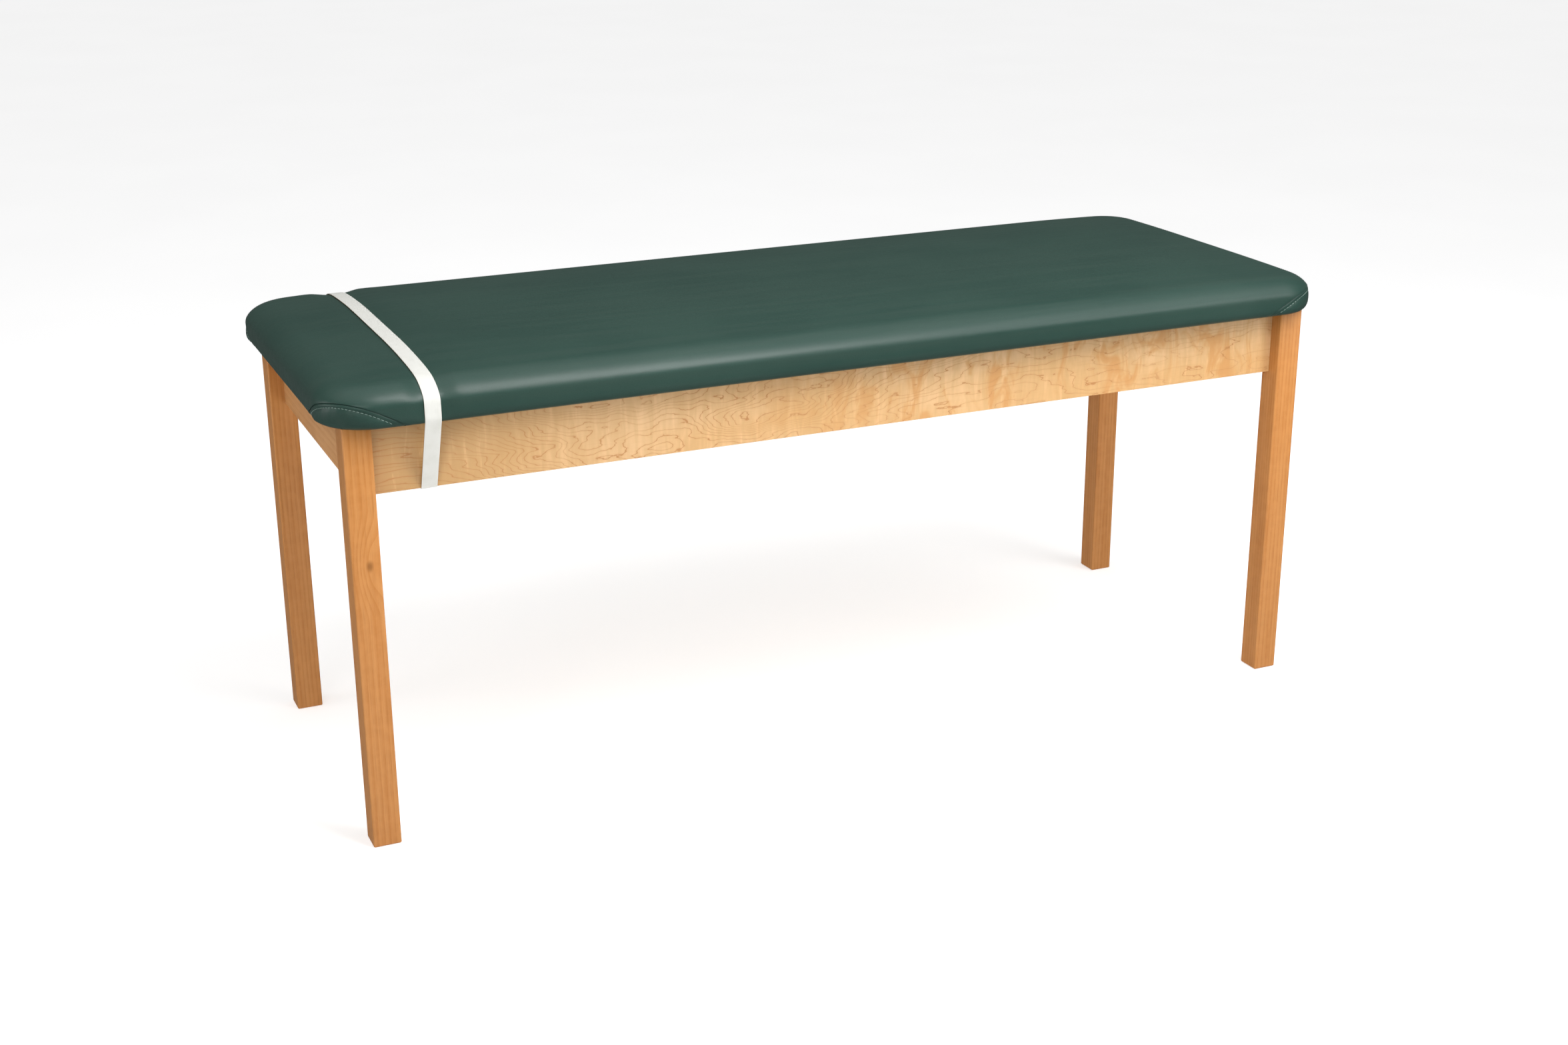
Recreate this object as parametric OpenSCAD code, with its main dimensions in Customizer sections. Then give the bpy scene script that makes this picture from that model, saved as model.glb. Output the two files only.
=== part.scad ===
// Wooden examination couch with a fixed height: a flat vinyl-covered pad on a plywood deck,
// four rails bolted to square legs through steel corner brackets, and a paper strap.
// X runs along the length (head end at -X), Y across the width (front at -Y), Z up from the floor.
// All sizes are in millimetres.

/* [Overall] */
// Length over the upholstery
couch_l = 1829; // [1700:1:2000]
// Width over the upholstery
couch_w = 698; // [650:1:800]
// Height from the floor to the crown of the pad
couch_h = 787; // [600:1:900]

/* [Pad] */
// Thickness of deck, foam and cover together, at the crown
pad_t = 78; // [70:1:110]
// Corner radius of the pad seen from above
pad_r = 88; // [70:1:120]
// How far the top edge rounds in from the side
edge_in = 49; // [35:1:65]
// How far the top edge rounds down
edge_down = 28; // [20:1:32]
// Rise of the crown above the rounded edge
crown_h = 17; // [5:1:20]
// Distance from the side over which the crown rises
crown_in = 260; // [150:5:300]
// How far the bottom edge pulls in under the pad
tuck_in = 12; // [8:1:13]
// How far up the side the bottom edge rounds
tuck_up = 15; // [10:1:18]
// Thickness of the vinyl cover
cover_t = 1.2; // [0.8:0.1:1.6]
// How far the turned-under cover reaches in from the side
turn_under = 65; // [60:1:67]
// Thickness of the plywood deck
deck_t = 19; // [15:1:25]

/* [Corner panels] */
// Height of the panel's seam at the corner, above the bottom of the pad
seam_top = 44; // [30:1:50]
// Slope of the seam, as drop per millimetre in from the corner
seam_slope = 0.764; // [0.6:0.01:0.9]
// Distance of the topstitching below the seam
stitch_gap = 6.5; // [3:0.5:8]
// Length of one stitch
stitch_l = 4; // [2:0.5:6]
// Thickness of the thread
thread_d = 0.8; // [0.5:0.1:1.2]

/* [Frame] */
// Section of the square legs
leg_w = 46; // [42:1:60]
// Radius on the long edges of the legs
leg_edge_r = 3; // [1:0.5:5]
// Bevel round the foot of each leg
foot_bevel = 2.5; // [1:0.5:4]
// Distance of the legs in from the ends of the pad
leg_in_x = 30.5; // [25:0.5:60]
// Distance of the legs in from the sides of the pad
leg_in_y = 31; // [25:0.5:60]
// Depth of the rails
rail_h = 118; // [100:1:150]
// Thickness of the rails
rail_t = 18; // [16:1:20]
// Distance of the rails back from the outer face of the legs
rail_recess = 26; // [20:1:26]
// Depth of the cross rails under the deck
cross_h = 60; // [40:1:80]
// Distance of the outer cross rails from the middle one
cross_gap = 420; // [300:10:520]

/* [Hardware] */
// Diameter of the hanger bolts
bolt_d = 8; // [6:1:10]
// Diameter of the wood screws' shanks
screw_d = 3.6; // [3:0.2:5]
// Thickness of the corner brackets
bracket_t = 2; // [1.5:0.5:3]
// Height of the corner brackets
bracket_h = 84; // [70:1:90]
// Number of deck clips along each long rail
clips_long = 4; // [2:2:4]
// Number of deck clips along each end rail
clips_short = 2; // [1:1:3]
// Distance between staples
staple_pitch = 38; // [30:1:60]

/* [Paper strap] */
// Width of the strap
strap_w = 26; // [20:1:40]
// Thickness of the strap
strap_t = 1.5; // [1:0.1:2]
// Distance of the strap's middle from the head end
strap_from_end = 166; // [120:1:400]
// Length of the strap's ends inside the rails
strap_tail = 52; // [40:1:70]

/* [Hidden] */

// Heights
pad_z = couch_h - pad_t;               // underside of the pad, top of the legs
rail_z = pad_z - rail_h;               // underside of the rails
deck_z = pad_z + cover_t;              // underside of the deck board
shoulder_z = pad_t - edge_down - crown_h;

// The leg's outer faces, and the planes of the rails' inner faces
leg_x = couch_l / 2 - leg_in_x;
leg_y = couch_w / 2 - leg_in_y;
inner_x = leg_x - rail_recess - rail_t;
inner_y = leg_y - rail_recess - rail_t;

// The deck board and the opening in the turned-under cover
deck_in = tuck_in + cover_t + 0.8;
opening_x = couch_l / 2 - turn_under;
opening_y = couch_w / 2 - turn_under;

// Corner hardware, measured from where the inner faces of two rails meet
web_reach = 42;                        // where the bracket's web meets each rail
wing_l = 30;                           // length of each wing along the rail
lip_l = 8;                             // lip that hooks into the rail's kerf
wing_screw_in = 12;                    // wing screws, in from the lip
wing_screw_rise = bracket_h / 2 - 16;  // wing screws, above or below the bracket's middle
kerf_gap = 0.2;
bracket_mid_z = rail_z + rail_h / 2;
bolt_rise = 22;                        // each bolt above or below the bracket's middle
bolt_grip = 36;                        // length of bolt inside the leg
bolt_hole = bolt_grip + 8;             // depth of its hole
chamfer = 9;                           // flat on the leg's inner edge for the bolts
web_dist = web_reach / sqrt(2);
bolt_tail = 16;                        // length of bolt past the bracket
washer_t = 1.6;
nut_t = 6.5;
screw_l = 14;
screw_head_d = 7.5;
screw_head_t = 2.2;

// Deck clips
clip_w = 24;
clip_t = 1.5;
clip_drop = 12;
clip_reach = 26;
clip_kerf = 8;
clip_foot = 4;                         // where the clip turns up, past the rail's inner face
clip_screw_in = clip_reach - 10;
clip_in_x = 180;                       // outer clips, in from the end rails
clip_in_y = 130;                       // outer clips, in from the long rails

// Angles that hold the cross rails
angle_leg = 30;
angle_t = 2;
angle_h = 44;
angle_screw_in = 11;                   // screws, in from the angle's edge
angle_screw_rise = angle_h / 2 - 10;   // screws, above or below the angle's middle

// Staples
staple_w = 11;
staple_t = 0.9;
staple_wire = 1.2;
staple_in = 46;                        // distance of the staples in from the side
staple_from_end = 130;                 // where the rows along the sides start
staple_from_side = 105;                // where the rows along the ends start

// Topstitching
stitch_half_row = 13;                  // most stitches on each side of the corner's middle
thread_gap = 0.15;                     // clearance between the thread and the vinyl

// Strap and its fastening
strap_x = strap_from_end - couch_l / 2;
strap_gap = 0.3;                       // clearance between the strap and what it lies on
strap_screw_up = strap_tail - 14;      // strap screws, above the rail's underside
cup_d = 12;
cup_t = 2;

corner_signs = [[-1, -1], [1, -1], [-1, 1], [1, 1]];
cross_xs = [-cross_gap, 0, cross_gap];

// ---------------------------------------------------------------- pad form

// Height of the top surface, d in from the side, above the bottom of the pad
function rise(d, reach, h) = h * sqrt(1 - pow(1 - min(d, reach) / reach, 2));
function crown(d) = crown_h * (1 - pow(1 - min(d, crown_in) / crown_in, 2));
function top_z(d) = shoulder_z + rise(d, edge_in, edge_down) + crown(d);

// The section of the pad as [distance in from the side, height], from bottom to top
tuck_steps = [for (a = [0:18:90]) [tuck_in * (1 - sin(a)), tuck_up * (1 - cos(a))]];
edge_steps = [for (a = [0:10:90]) let (d = edge_in * (1 - cos(a))) [d, top_z(d)]];
crown_steps = [for (k = [1:4]) let (d = edge_in + (crown_in - edge_in) * k / 4) [d, top_z(d)]];
pad_section = concat(tuck_steps, edge_steps, crown_steps);

module rounded_rect(l, w, r) {
    hull()
        for (sx = [-1, 1], sy = [-1, 1])
            translate([sx * (l / 2 - r), sy * (w / 2 - r)])
                circle(r = r, $fn = 40);
}

// The solid form of the pad, drawn in by skin on every side
module pad_form(skin = 0) {
    sliver = 0.01;
    squash = (pad_t - 2 * skin) / pad_t;
    translate([0, 0, pad_z + skin])
        hull()
            for (p = pad_section) {
                d = p[0] + skin;
                translate([0, 0, min(p[1] * squash, pad_t - 2 * skin - sliver)])
                    linear_extrude(sliver)
                        rounded_rect(couch_l - 2 * d, couch_w - 2 * d, max(pad_r - d, 6));
            }
}

// The vinyl wall all round, with the opening on the underside
module cover_wall() {
    difference() {
        pad_form(0);
        pad_form(cover_t);
        translate([0, 0, pad_z - 1])
            linear_extrude(cover_t + 2)
                square([2 * opening_x, 2 * opening_y], center = true);
    }
}

// Everything below the sloping seam of one corner
module below_seam(sx, sy) {
    reach = 170;
    apex_x = couch_l / 2 - pad_r + pad_r / sqrt(2);
    apex_y = couch_w / 2 - pad_r + pad_r / sqrt(2);
    translate([sx * apex_x, sy * apex_y, pad_z + seam_top])
        rotate([0, 0, atan2(sy, sx)])
            rotate([0, -atan(seam_slope), 0])
                translate([-reach, -reach, -reach])
                    cube([2 * reach, 2 * reach, reach]);
}

module vinyl_cover() {
    color("darkgreen")
        difference() {
            cover_wall();
            for (s = corner_signs)
                below_seam(s[0], s[1]);
        }
}

module corner_panel(sx, sy) {
    color("darkgreen")
        intersection() {
            cover_wall();
            below_seam(sx, sy);
        }
}

// One row of stitches round a corner: s runs along the plan outline from the corner's middle
function outline(s) =
    let (half = pad_r * PI / 4, extra = max(abs(s) - half, 0),
         a = min(abs(s), half) / pad_r * 180 / PI * sign(s))
    [pad_r * cos(a) - extra / sqrt(2), pad_r * sin(a) + sign(s) * extra / sqrt(2), a];
function stitch_drop(s) = seam_slope * (pad_r - outline(s)[0]);

module stitch_row() {
    pitch = stitch_l * 1.5;
    out = thread_d / 2 + thread_gap;
    for (i = [-stitch_half_row:stitch_half_row]) {
        s = i * pitch;
        p = outline(s);
        z = seam_top - stitch_gap - stitch_drop(s);
        lean = atan2(stitch_drop(s + 1) - stitch_drop(s - 1), 2);
        if (z > tuck_up)
            translate([p[0], p[1], z])
                rotate([0, 0, p[2]])
                    translate([out, 0, 0])
                        rotate([-lean, 0, 0])
                            cube([thread_d, stitch_l, thread_d], center = true);
    }
}

module corner_topstitching() {
    color("lightgreen")
        for (s = corner_signs)
            translate([s[0] * (couch_l / 2 - pad_r), s[1] * (couch_w / 2 - pad_r), pad_z])
                rotate([0, 0, atan2(s[1], s[0])])
                    stitch_row();
}

module foam_pad() {
    color("khaki")
        difference() {
            pad_form(cover_t);
            translate([0, 0, deck_z - 1])
                linear_extrude(deck_t + 1)
                    deck_plan();
        }
}

// ---------------------------------------------------------------- deck

// The board's outline, with true arcs at its corners
module deck_plan() {
    l = couch_l - 2 * deck_in;
    w = couch_w - 2 * deck_in;
    r = pad_r - deck_in;
    square([l - 2 * r, w], center = true);
    square([l, w - 2 * r], center = true);
    for (sx = [-1, 1], sy = [-1, 1])
        translate([sx * (l / 2 - r), sy * (w / 2 - r)])
            circle(r = r, $fn = 72);
}

module deck_board() {
    color("burlywood")
        difference() {
            translate([0, 0, deck_z])
                linear_extrude(deck_t)
                    deck_plan();
            at_deck_clips()
                translate([0, clip_screw_in, -1])
                    cylinder(d = screw_d, h = screw_l + 1, $fn = 24);
        }
}

module staple() {
    translate([-staple_w / 2, 0, -staple_t])
        cube([staple_w, staple_wire, staple_t]);
}

module cover_staples() {
    long_run = couch_l - 2 * staple_from_end;
    short_run = couch_w - 2 * staple_from_side;
    n_long = floor(long_run / staple_pitch);
    n_short = floor(short_run / staple_pitch);
    color("silver")
        for (side = [0, 180])
            rotate([0, 0, side]) {
                for (i = [0:n_long])
                    translate([(i - n_long / 2) * staple_pitch, staple_in - couch_w / 2, pad_z])
                        staple();
                for (i = [0:n_short])
                    translate([staple_in - couch_l / 2, (i - n_short / 2) * staple_pitch, pad_z])
                        rotate([0, 0, -90])
                            staple();
            }
}

// ---------------------------------------------------------------- frame

// Places its children where the inner faces of two rails meet, at the bracket's mid height,
// with +X pointing along the diagonal into the couch
module at_corner(sx, sy) {
    translate([sx * inner_x, sy * inner_y, bracket_mid_z])
        rotate([0, 0, atan2(-sy, -sx)])
            children();
}

module at_bolts() {
    for (z = [-bolt_rise, bolt_rise])
        translate([0, 0, z])
            rotate([0, 90, 0])
                children();
}

// Places its children on both wings of a bracket: +Y is along the rail, -X into it
module at_wings() {
    for (m = [0, 1])
        mirror([0, m, 0])
            rotate([0, 0, -45])
                children();
}

module at_wing_screws() {
    for (side = [-1, 1])
        translate([0, web_reach + wing_l - wing_screw_in, side * wing_screw_rise])
            rotate([0, -90, 0])
                children();
}

// Material that the corner hardware takes out of the rails and the legs
module corner_cuts(sx, sy) {
    at_corner(sx, sy) {
        at_bolts()
            translate([0, 0, -bolt_hole])
                cylinder(d = bolt_d + 0.3, h = bolt_hole + web_dist, $fn = 32);
        at_wings() {
            translate([-lip_l - 1, web_reach + wing_l - bracket_t - kerf_gap, -bracket_h / 2 - 1])
                cube([lip_l + 1, bracket_t + 2 * kerf_gap, bracket_h + 2]);
            at_wing_screws()
                cylinder(d = screw_d, h = screw_l + 1, $fn = 24);
        }
    }
}

// Places its children at each deck clip: +Y points into the couch, Z = 0 is the deck's underside
module at_deck_clips() {
    span_x = 2 * (inner_x - clip_in_x);
    span_y = 2 * (inner_y - clip_in_y);
    for (side = [0, 180])
        rotate([0, 0, side]) {
            for (i = [0:clips_long - 1])
                translate([(i / (clips_long - 1) - 0.5) * span_x, -inner_y, deck_z])
                    children();
            for (i = [0:clips_short - 1])
                translate([inner_x, (i / max(clips_short - 1, 1) - 0.5) * span_y, deck_z])
                    rotate([0, 0, 90])
                        children();
        }
}

module clip_kerf() {
    translate([-clip_w / 2 - 1, -clip_kerf - 0.5, -clip_drop - 0.2])
        cube([clip_w + 2, clip_kerf + 1.5, clip_t + 0.4]);
}

// Places its children at the two ends of a cross rail: +X into the long rail, +Y away from the
// cross rail's side, Z = 0 at its mid height
module at_cross_ends(x) {
    for (side = [0, 1])
        translate([x, 0, deck_z - cross_h / 2])
            mirror([0, side, 0])
                translate([rail_t / 2, -inner_y, 0])
                    rotate([0, 0, -90])
                        children();
}

module angle_screws_at() {
    for (z = [-angle_screw_rise, angle_screw_rise]) {
        translate([-angle_t, angle_leg - angle_screw_in, z])
            rotate([0, 90, 0])
                children();
        translate([angle_screw_in - angle_leg, angle_t, z])
            rotate([90, 0, 0])
                children();
    }
}

module rail_cuts() {
    for (s = corner_signs)
        corner_cuts(s[0], s[1]);
    at_deck_clips()
        clip_kerf();
}

module long_rail(sy) {
    x_end = leg_x - leg_w;
    difference() {
        translate([-x_end, sy > 0 ? inner_y : -inner_y - rail_t, rail_z])
            cube([2 * x_end, rail_t, rail_h]);
        rail_cuts();
        for (x = cross_xs)
            at_cross_ends(x)
                angle_screws_at()
                    cylinder(d = screw_d, h = screw_l, $fn = 24);
        at_strap_screws()
            cylinder(d = screw_d, h = screw_l + 2, $fn = 24);
    }
}

module end_rail(sx) {
    y_end = leg_y - leg_w;
    difference() {
        translate([sx > 0 ? inner_x : -inner_x - rail_t, -y_end, rail_z])
            cube([rail_t, 2 * y_end, rail_h]);
        rail_cuts();
    }
}

module front_rail() {
    color("wheat")
        long_rail(-1);
}

module rear_rail() {
    color("wheat")
        long_rail(1);
}

module head_rail() {
    color("tan")
        end_rail(-1);
}

module foot_rail() {
    color("tan")
        end_rail(1);
}

module cross_rail(x) {
    color("tan")
        difference() {
            translate([x - rail_t / 2, -inner_y, deck_z - cross_h])
                cube([rail_t, 2 * inner_y, cross_h]);
            at_cross_ends(x)
                angle_screws_at()
                    cylinder(d = screw_d, h = screw_l, $fn = 24);
        }
}

module leg_section() {
    r = leg_edge_r;
    translate([0, r])
        square([leg_w, leg_w - 2 * r]);
    translate([r, 0])
        square([leg_w - 2 * r, leg_w]);
    for (x = [r, leg_w - r], y = [r, leg_w - r])
        translate([x, y])
            circle(r = r, $fn = 32);
}

module leg(sx, sy) {
    color("sandybrown")
        difference() {
            translate([sx * leg_x, sy * leg_y, 0])
                mirror([sx > 0 ? 1 : 0, 0, 0])
                    mirror([0, sy > 0 ? 1 : 0, 0])
                        difference() {
                            linear_extrude(pad_z)
                                leg_section();
                            foot_bevels();
                            // flat for the hanger bolts on the inner edge
                            translate([leg_w, leg_w, rail_z - 6])
                                rotate([0, 0, 45])
                                    translate([-chamfer / sqrt(2), -leg_w, 0])
                                        cube([leg_w, 2 * leg_w, rail_h + 10]);
                        }
            corner_cuts(sx, sy);
        }
}

module foot_bevels() {
    for (a = [0, 90, 180, 270])
        translate([leg_w / 2, leg_w / 2, 0])
            rotate([0, 0, a])
                translate([-leg_w / 2, -leg_w, 0])
                    rotate([0, 45, 0])
                        translate([-leg_w, 0, -leg_w + foot_bevel / sqrt(2)])
                            cube([2 * leg_w, 2 * leg_w, leg_w]);
}

// ---------------------------------------------------------------- hardware

module corner_bracket(sx, sy) {
    color("silver")
        at_corner(sx, sy)
            difference() {
                translate([0, 0, -bracket_h / 2])
                    linear_extrude(bracket_h)
                        bracket_plan();
                at_bolts()
                    cylinder(d = bolt_d + 1, h = web_dist + bracket_t + 1, $fn = 32);
                at_wings()
                    at_wing_screws()
                        translate([0, 0, -bracket_t - 1])
                            cylinder(d = screw_d + 0.6, h = bracket_t + 2, $fn = 24);
            }
}

// Plan of the bent plate: the web across the corner, a wing on each rail and a lip in its kerf
module bracket_plan() {
    t = bracket_t;
    end = web_reach + wing_l;
    bend = t * tan(22.5);
    half = [
        turn(t, web_reach + bend), turn(t, end), turn(-lip_l, end),
        turn(-lip_l, end - t), turn(0, end - t), turn(0, web_reach)
    ];
    polygon(concat(half, mirrored(half)));
}

// The same points on the other side of the first axis, in reverse order
function mirrored(p) = [for (i = [len(p) - 1:-1:0]) [p[i][0], -p[i][1]]];

// A point measured from one rail's inner face, turned into the bracket's own axes
function turn(out, along) = [(out + along) / sqrt(2), (along - out) / sqrt(2)];

// A pan-head screw along +Z whose head bears on a plate that lies on the plane Z = 0
module pan_screw(plate_t) {
    overlap = 0.01;
    translate([0, 0, -plate_t - overlap])
        cylinder(d = screw_d - 0.1, h = screw_l - 0.5 + plate_t, $fn = 24);
    translate([0, 0, -plate_t - screw_head_t])
        cylinder(d = screw_head_d, h = screw_head_t, $fn = 24);
}

module bracket_screws() {
    color("silver")
        for (s = corner_signs)
            at_corner(s[0], s[1])
                at_wings()
                    at_wing_screws()
                        pan_screw(bracket_t);
}

module at_all_bolts() {
    for (s = corner_signs)
        at_corner(s[0], s[1])
            at_bolts()
                children();
}

module hanger_bolts() {
    color("silver")
        at_all_bolts()
            translate([0, 0, -bolt_grip])
                cylinder(d = bolt_d, h = bolt_grip + web_dist + bolt_tail, $fn = 32);
}

module bolt_washers() {
    color("silver")
        at_all_bolts()
            translate([0, 0, web_dist + bracket_t])
                difference() {
                    cylinder(d = 2.2 * bolt_d, h = washer_t, $fn = 32);
                    translate([0, 0, -1])
                        cylinder(d = bolt_d + 0.4, h = washer_t + 2, $fn = 32);
                }
}

module bolt_nuts() {
    color("silver")
        at_all_bolts()
            translate([0, 0, web_dist + bracket_t + washer_t])
                difference() {
                    cylinder(d = 1.6 * bolt_d / cos(30), h = nut_t, $fn = 6);
                    translate([0, 0, -1])
                        cylinder(d = bolt_d + 0.1, h = nut_t + 2, $fn = 32);
                }
}

module deck_clips() {
    color("silver")
        at_deck_clips()
            difference() {
                translate([-clip_w / 2, 0, 0])
                    rotate([90, 0, 90])
                        linear_extrude(clip_w)
                            polygon([
                                [-clip_kerf, -clip_drop], [clip_foot, -clip_drop],
                                [clip_foot, -clip_t], [clip_reach, -clip_t], [clip_reach, 0],
                                [clip_foot - clip_t, 0],
                                [clip_foot - clip_t, clip_t - clip_drop],
                                [-clip_kerf, clip_t - clip_drop]
                            ]);
                translate([0, clip_screw_in, -clip_t - 1])
                    cylinder(d = screw_d + 0.6, h = clip_t + 2, $fn = 24);
            }
}

module deck_clip_screws() {
    color("silver")
        at_deck_clips()
            translate([0, clip_screw_in, 0])
                pan_screw(clip_t);
}

module cross_rail_angles() {
    color("silver")
        for (x = cross_xs)
            at_cross_ends(x)
                difference() {
                    translate([0, 0, -angle_h / 2])
                        linear_extrude(angle_h)
                            polygon([
                                [0, 0], [0, angle_leg], [-angle_t, angle_leg],
                                [-angle_t, angle_t], [-angle_leg, angle_t], [-angle_leg, 0]
                            ]);
                    angle_screws_at()
                        translate([0, 0, -1])
                            cylinder(d = screw_d + 0.6, h = angle_t + 2, $fn = 24);
                }
}

module cross_rail_screws() {
    color("silver")
        for (x = cross_xs)
            at_cross_ends(x)
                angle_screws_at()
                    pan_screw(0);
}

// ---------------------------------------------------------------- paper strap

// The side of the strap that faces the pad, as [z, y] points: from the front rail's inside,
// under the rail and over the pad to the middle
strap_end_in = strap_from_end + strap_w / 2;
rail_front = inner_y + rail_t;
tuck_from = 62;                        // angle at which the strap leaves the pad's lower edge
tuck_step = 7;
strap_half = concat(
    [[rail_z + strap_tail, -inner_y + strap_gap], [rail_z - strap_gap, -inner_y + strap_gap],
     [rail_z - strap_gap, -rail_front - strap_gap]],
    [for (a = [tuck_from:tuck_step:90])
        [pad_z + tuck_up * (1 - cos(a)), tuck_in * (1 - sin(a)) - couch_w / 2 - strap_gap]],
    [for (p = concat(edge_steps, crown_steps))
        [pad_z + top_z(min(p[0], strap_end_in)) + strap_gap,
         p[0] - couch_w / 2 - strap_gap * (1 - min(p[0] / edge_in, 1))]]
);
strap_inner = concat(strap_half, mirrored(strap_half));

// Mitred normal at point i of a path, pointing away from the pad
function unit(v) = v / norm(v);
function normal(a, b) = let (d = unit(b - a)) [d[1], -d[0]];
function miter(p, i) =
    let (n = len(p) - 1,
         n1 = normal(p[max(i - 1, 0)], p[max(i, 1)]),
         n2 = normal(p[min(i, n - 1)], p[min(i + 1, n)]))
    (n1 + n2) / (1 + n1 * n2);

module strap_plan() {
    last = len(strap_inner) - 1;
    outer = [for (i = [last:-1:0]) strap_inner[i] + strap_t * miter(strap_inner, i)];
    polygon(concat(strap_inner, outer));
}

module paper_strap() {
    color("whitesmoke")
        difference() {
            translate([strap_x + strap_w / 2, 0, 0])
                rotate([0, -90, 0])
                    linear_extrude(strap_w)
                        strap_plan();
            at_strap_screws()
                translate([0, 0, -10])
                    cylinder(d = screw_d + 0.6, h = 12, $fn = 24);
        }
}

// Places its children on the inner faces of the long rails, +Z pointing into the rail
module at_strap_screws() {
    for (side = [0, 1], x = [-strap_w / 4, strap_w / 4])
        mirror([0, side, 0])
            translate([strap_x + x, -inner_y, rail_z + strap_screw_up])
                rotate([90, 0, 0])
                    children();
}

module strap_washers() {
    color("silver")
        at_strap_screws()
            translate([0, 0, -strap_gap - strap_t - cup_t])
                difference() {
                    cylinder(d = cup_d, h = cup_t, $fn = 32);
                    translate([0, 0, -1])
                        cylinder(d = screw_d + 0.4, h = cup_t + 2, $fn = 24);
                }
}

module strap_screws() {
    color("silver")
        at_strap_screws()
            pan_screw(strap_gap + strap_t + cup_t);
}

// ---------------------------------------------------------------- nodes

vinyl_cover();
corner_panel(-1, -1);  // corner_panel_front_head
corner_panel(1, -1);  // corner_panel_front_foot
corner_panel(-1, 1);  // corner_panel_rear_head
corner_panel(1, 1);  // corner_panel_rear_foot
corner_topstitching();
foam_pad();
deck_board();
cover_staples();
front_rail();
rear_rail();
head_rail();
foot_rail();
cross_rail(-cross_gap);  // cross_rail_head
cross_rail(0);  // cross_rail_middle
cross_rail(cross_gap);  // cross_rail_foot
leg(-1, -1);  // leg_front_head
leg(1, -1);  // leg_front_foot
leg(-1, 1);  // leg_rear_head
leg(1, 1);  // leg_rear_foot
corner_bracket(-1, -1);  // corner_bracket_front_head
corner_bracket(1, -1);  // corner_bracket_front_foot
corner_bracket(-1, 1);  // corner_bracket_rear_head
corner_bracket(1, 1);  // corner_bracket_rear_foot
bracket_screws();
hanger_bolts();
bolt_washers();
bolt_nuts();
deck_clips();
deck_clip_screws();
cross_rail_angles();
cross_rail_screws();
paper_strap();
strap_washers();
strap_screws();
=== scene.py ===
"""Looks of the examination couch: upholstery, strap, wood and hardware around the CAD frame.

Everything is in metres in the CAD frame: X along the couch (head end at -X), front at -Y.
"""

import math

import bmesh
import bpy
import numpy as np
from mathutils import Matrix, Vector


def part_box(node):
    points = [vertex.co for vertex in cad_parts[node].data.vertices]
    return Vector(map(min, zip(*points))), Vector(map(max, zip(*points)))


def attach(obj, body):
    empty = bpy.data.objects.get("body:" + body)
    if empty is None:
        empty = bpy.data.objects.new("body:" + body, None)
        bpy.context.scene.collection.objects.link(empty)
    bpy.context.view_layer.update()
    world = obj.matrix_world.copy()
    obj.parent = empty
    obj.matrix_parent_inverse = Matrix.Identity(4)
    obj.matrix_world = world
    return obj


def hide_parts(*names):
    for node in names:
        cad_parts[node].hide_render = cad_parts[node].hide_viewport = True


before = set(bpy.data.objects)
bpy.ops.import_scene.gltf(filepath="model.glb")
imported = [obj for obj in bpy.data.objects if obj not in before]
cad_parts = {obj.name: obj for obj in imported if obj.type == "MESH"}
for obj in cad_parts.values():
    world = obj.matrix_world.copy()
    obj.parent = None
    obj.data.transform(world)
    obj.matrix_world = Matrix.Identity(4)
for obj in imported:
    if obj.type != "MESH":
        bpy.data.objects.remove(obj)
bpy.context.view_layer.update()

MM = 0.001
TAU = 2 * math.pi

# ---------------------------------------------------------------- sizes from the frame

pad_low, pad_high = (np.array(c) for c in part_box("vinyl_cover"))
rail_low, rail_high = (np.array(c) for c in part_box("front_rail"))
strap_low, strap_high = (np.array(c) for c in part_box("paper_strap"))
deck_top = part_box("deck_board")[1][2]

HALF_L, HALF_W = pad_high[0], pad_high[1]
PAD_Z, PAD_T = pad_low[2], pad_high[2] - pad_low[2]
STRAP_X = (strap_low[0] + strap_high[0]) / 2
STRAP_W = strap_high[0] - strap_low[0]

# The pad's section, as in part.scad
CORNER_R = 88 * MM
EDGE_IN, EDGE_DOWN = 49 * MM, 28 * MM
CROWN_H, CROWN_IN = 17 * MM, 260 * MM
TUCK_IN, TUCK_UP = 12 * MM, 15 * MM
TURN_UNDER = 64 * MM
SHOULDER = PAD_T - EDGE_DOWN - CROWN_H
COVER_T = 1.4 * MM

# The corner panels' seam lies in a sloping plane through each corner; the middle of the corner's
# arc, where the seam is highest, is SEAM_IN short of the pad's square corner along both axes
SEAM_TOP, SEAM_SLOPE = 44 * MM, 0.764
SEAM_IN = CORNER_R * (1 - math.sqrt(0.5))
PANEL_REACH, PANEL_OVERLAP = 112 * MM, 4 * MM
STITCH_GAP, STITCH_L, STITCH_PITCH = 6.5 * MM, 4.2 * MM, 6 * MM
THREAD_R = 0.45 * MM

# A small pressed dent in the vinyl beside the strap, bumped in and painted darker as its shade
DIMPLE = (-0.712, -0.190, 0.783)

STRAP_T, STRAP_EDGE = 1.5 * MM, 0.5 * MM
STRAP_GAP, STRAP_BEND = 0.25 * MM, 1.6 * MM
STRAP_TAIL = 52 * MM

# The cover's cloth simulation: its frames, and how far a point may move
CLOTH_FRAMES, CLOTH_CAP = 16, 3.5 * MM

CORNERS = {"front_head": (-1, -1), "front_foot": (1, -1), "rear_head": (-1, 1), "rear_foot": (1, 1)}


# ---------------------------------------------------------------- helpers


def smooth(x, low, high):
    """0 below low, 1 above high, and a smooth step between."""
    t = np.clip((x - low) / (high - low), 0, 1)
    return t * t * (3 - 2 * t)


def bell(x, middle, width):
    return np.exp(-(((x - middle) / width) ** 2))


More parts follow.
